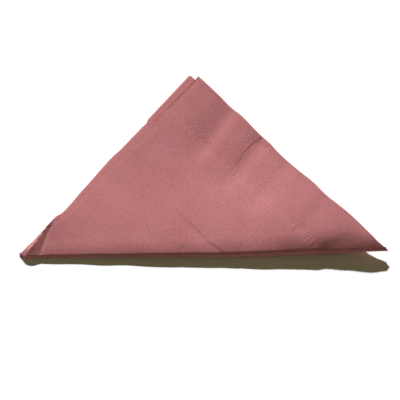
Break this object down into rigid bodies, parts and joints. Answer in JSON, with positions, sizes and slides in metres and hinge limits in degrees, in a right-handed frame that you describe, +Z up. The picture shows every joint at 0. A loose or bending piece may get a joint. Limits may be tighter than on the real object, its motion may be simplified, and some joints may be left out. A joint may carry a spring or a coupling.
{
  "type": "paper napkin",
  "caption": "Square paper napkin folded in quarters and once more across the diagonal into a flat triangle, with a ribbed band along its free edges.",
  "frame": {"origin": "middle of the underside of the folded triangle's box", "axes": "+X along the diagonal fold from the closed corner to the open corner, +Y from that fold towards the apex, +Z up"},
  "size_m": [0.2346, 0.1216, 0.0098],
  "materials": {
    "tissue": "matte dusty pink two-ply tissue, finely ribbed along the free edges"
  },
  "bodies": {
    "root": {"napkin": "tissue"}
  },
  "joints": []
}
